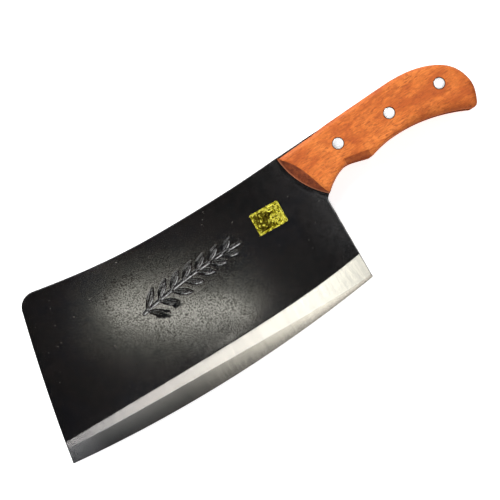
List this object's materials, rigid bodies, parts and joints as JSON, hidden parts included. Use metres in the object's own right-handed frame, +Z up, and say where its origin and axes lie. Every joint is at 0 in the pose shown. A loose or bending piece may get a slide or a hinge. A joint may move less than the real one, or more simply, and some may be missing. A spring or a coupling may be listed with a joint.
{
  "type": "meat cleaver",
  "caption": "Rectangular forged cleaver with a curved bevelled edge and a full tang between two riveted wooden scales, lying flat; chops and slices meat.",
  "frame": {"origin": "centre of the bounding box in plan, on the table that the cleaver lies on", "axes": "+X along the blade from tip to handle butt, +Y from the cutting edge to the spine, +Z up out of the labelled face; the cleaver lies as it rests on a table, tip down by about two and a half degrees"},
  "size_m": [0.3242, 0.1082, 0.0276],
  "materials": {
    "forged_steel": "oiled black forge scale on the cheeks and spine, ground and polished bevel",
    "handle_wood": "satin varnished orange-brown hardwood",
    "rivet_metal": "polished flush heads",
    "gold_foil": "crinkled gold foil"
  },
  "bodies": {
    "root": {"blade": "forged_steel", "front_scale": "handle_wood", "back_scale": "handle_wood", "foil_label": "gold_foil", "front_rivet_socket": "rivet_metal", "front_rivet_stud": "rivet_metal", "middle_rivet_socket": "rivet_metal", "middle_rivet_stud": "rivet_metal", "rear_rivet_socket": "rivet_metal", "rear_rivet_stud": "rivet_metal"}
  },
  "joints": []
}
